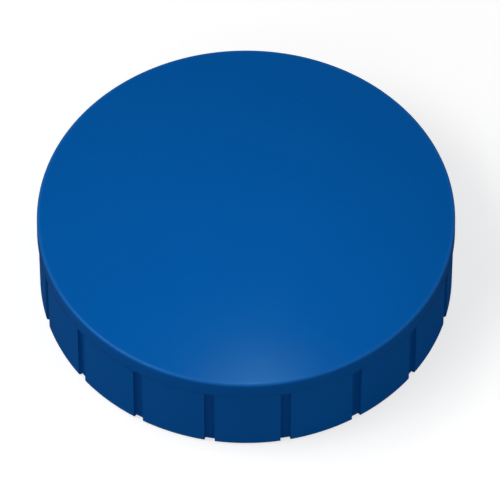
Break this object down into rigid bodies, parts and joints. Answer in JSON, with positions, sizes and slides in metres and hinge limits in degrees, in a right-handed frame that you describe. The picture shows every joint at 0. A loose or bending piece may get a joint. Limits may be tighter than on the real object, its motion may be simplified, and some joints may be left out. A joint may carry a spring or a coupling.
{
  "type": "disc magnet",
  "caption": "Round blue office magnet: a moulded plastic cap with a thin lip and a fluted grip wall, and a ferrite disc set in its underside, for holding paper to a steel board.",
  "frame": {"origin": "centre of the underside, on the plane of the cap's rim that rests on the board", "axes": "+Z out of the face, along the axis of the disc; -Y to the front, midway between two flutes; +X to the right of someone facing the front"},
  "size_m": [0.032, 0.032, 0.0079],
  "materials": {
    "cap_plastic": "blue moulded ABS, satin",
    "ferrite": "dark grey sintered ferrite, ground"
  },
  "bodies": {
    "root": {"cap": "cap_plastic", "magnet": "ferrite"}
  },
  "joints": []
}
